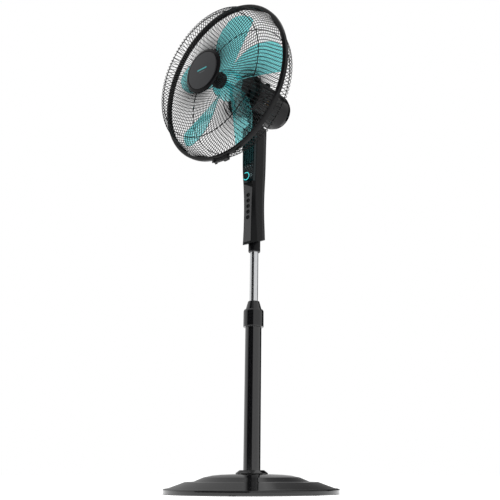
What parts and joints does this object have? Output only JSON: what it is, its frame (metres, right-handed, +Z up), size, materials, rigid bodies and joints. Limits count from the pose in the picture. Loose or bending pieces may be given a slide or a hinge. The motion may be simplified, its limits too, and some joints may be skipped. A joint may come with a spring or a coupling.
{
  "type": "pedestal fan",
  "caption": "Height-adjustable pedestal fan: translucent five-blade rotor in a wire guard, motor head that tilts and oscillates, slim control column and round weighted base.",
  "frame": {"origin": "on the floor, on the axis of the pole", "axes": "+Z up along the pole, -Y the way the air blows, +X to the right seen from the front"},
  "size_m": [0.44, 0.4176, 1.259],
  "materials": {
    "gloss_black": "gloss",
    "black_paint": "gloss",
    "black_plastic": "satin",
    "cast_iron": "rough",
    "steel": "satin",
    "rubber": "matt",
    "dark_nylon": "matt",
    "chrome": "polished",
    "display_glass": "gloss",
    "panel_grey": "satin",
    "circuit_board": "satin",
    "lamination": "satin",
    "copper": "gloss",
    "bronze": "satin",
    "aluminium": "cast",
    "wire_black": "gloss",
    "badge_grey": "satin",
    "button_grey": "satin",
    "teal_clear": "gloss"
  },
  "bodies": {
    "base": {"base_cover": "gloss_black", "base_weight": "cast_iron", "base_screws": "steel", "rubber_feet": "rubber", "pole_flange": "gloss_black", "outer_pole": "black_paint", "pole_bolt": "steel", "pole_sleeve": "dark_nylon", "collet": "dark_nylon"},
    "lock_nut": {"lock_nut": "gloss_black"},
    "column": {"inner_pole": "chrome", "pole_stop": "dark_nylon", "column_socket": "black_plastic", "column_front_shell": "black_plastic", "column_rear_shell": "black_plastic", "display_window": "display_glass", "lower_panel": "panel_grey", "column_screws": "steel", "cord_gland": "rubber", "control_board": "circuit_board", "tact_switches": "dark_nylon", "display_module": "dark_nylon", "capacitor": "panel_grey", "tilt_fork": "steel", "tilt_pin": "steel"},
    "button_1": {"button_1": "button_grey"},
    "button_2": {"button_2": "button_grey"},
    "button_3": {"button_3": "button_grey"},
    "button_4": {"button_4": "button_grey"},
    "button_5": {"button_5": "button_grey"},
    "neck": {"neck_block": "black_plastic", "swivel_screw": "steel"},
    "head": {"motor_front_cover": "black_plastic", "motor_housing": "black_plastic", "motor_rear_cap": "black_plastic", "stator_core": "lamination", "windings": "copper", "motor_screws": "steel", "bearings": "bronze", "gearbox_case": "aluminium", "rear_guard": "wire_black", "rear_guard_plate": "wire_black", "guard_nut": "black_plastic", "guard_band": "black_plastic", "front_guard": "wire_black", "badge": "badge_grey", "badge_backing": "black_plastic", "badge_plate": "black_plastic", "badge_screws": "steel"},
    "crank": {"crank_spindle": "steel"},
    "link": {"link_rod": "steel"},
    "worm_wheel": {"worm_wheel": "bronze"},
    "osc_knob": {"oscillation_knob": "black_plastic"},
    "rotor": {"shaft": "steel", "rotor_core": "lamination", "worm": "steel", "fan_blades": "teal_clear", "blade_pin": "steel", "spinner_nut": "black_plastic"},
    "guard_clip": {"guard_clip": "black_plastic"}
  },
  "joints": [
    {"name": "lock_nut_turn", "type": "hinge", "parent": "base", "child": "lock_nut", "pos_m": [0, 0, 0.43], "axis": [0, 0, 1], "range_deg": [0, 180]},
    {"name": "height_slide", "type": "slide", "parent": "base", "child": "column", "axis": [0, 0, 1], "range_m": [-0.125, 0.1]},
    {"name": "tilt", "type": "hinge", "parent": "column", "child": "neck", "pos_m": [0, 0, 0.962], "axis": [-1, 0, 0], "range_deg": [-8, 22]},
    {"name": "pan", "type": "hinge", "parent": "neck", "child": "head", "pos_m": [0, 0, 0.99], "axis": [0, 0, 1], "range_deg": [-40, 40]},
    {"name": "fan_spin", "type": "hinge", "parent": "head", "child": "rotor", "pos_m": [0, 0, 1.039], "axis": [0, -1, 0], "continuous": true},
    {"name": "crank_turn", "type": "hinge", "parent": "head", "child": "crank", "pos_m": [0.014, 0.034, 1], "axis": [0, 0, 1], "range_deg": [-62, 62]},
    {"name": "link_swing", "type": "hinge", "parent": "crank", "child": "link", "pos_m": [0.0244, 0.034, 0.9976], "axis": [0, 0, 1], "range_deg": [-62, 62]},
    {"name": "worm_wheel_spin", "type": "hinge", "parent": "head", "child": "worm_wheel", "pos_m": [0.014, 0.034, 1.039], "axis": [0, 0, 1], "continuous": true},
    {"name": "knob_pull", "type": "slide", "parent": "head", "child": "osc_knob", "axis": [0, 0, 1], "range_m": [0, 0.007]},
    {"name": "clip_open", "type": "hinge", "parent": "head", "child": "guard_clip", "pos_m": [-0.023, -0.1305, 0.814], "axis": [0, 1, 0], "range_deg": [0, 95]},
    {"name": "button_1_press", "type": "slide", "parent": "column", "child": "button_1", "axis": [0, 1, 0], "range_m": [0, 0.0015], "stiffness_N_per_m": 500, "springref_m": -0.0002},
    {"name": "button_2_press", "type": "slide", "parent": "column", "child": "button_2", "axis": [0, 1, 0], "range_m": [0, 0.0015], "stiffness_N_per_m": 500, "springref_m": -0.0002},
    {"name": "button_3_press", "type": "slide", "parent": "column", "child": "button_3", "axis": [0, 1, 0], "range_m": [0, 0.0015], "stiffness_N_per_m": 500, "springref_m": -0.0002},
    {"name": "button_4_press", "type": "slide", "parent": "column", "child": "button_4", "axis": [0, 1, 0], "range_m": [0, 0.0015], "stiffness_N_per_m": 500, "springref_m": -0.0002},
    {"name": "button_5_press", "type": "slide", "parent": "column", "child": "button_5", "axis": [0, 1, 0], "range_m": [0, 0.0015], "stiffness_N_per_m": 500, "springref_m": -0.0002}
  ],
  "couplings": [
    {"joint": "crank_turn", "follows": "pan", "ratio": -1.5},
    {"joint": "link_swing", "follows": "pan", "ratio": 1.5},
    {"joint": "worm_wheel_spin", "follows": "fan_spin", "ratio": 0.041667}
  ]
}
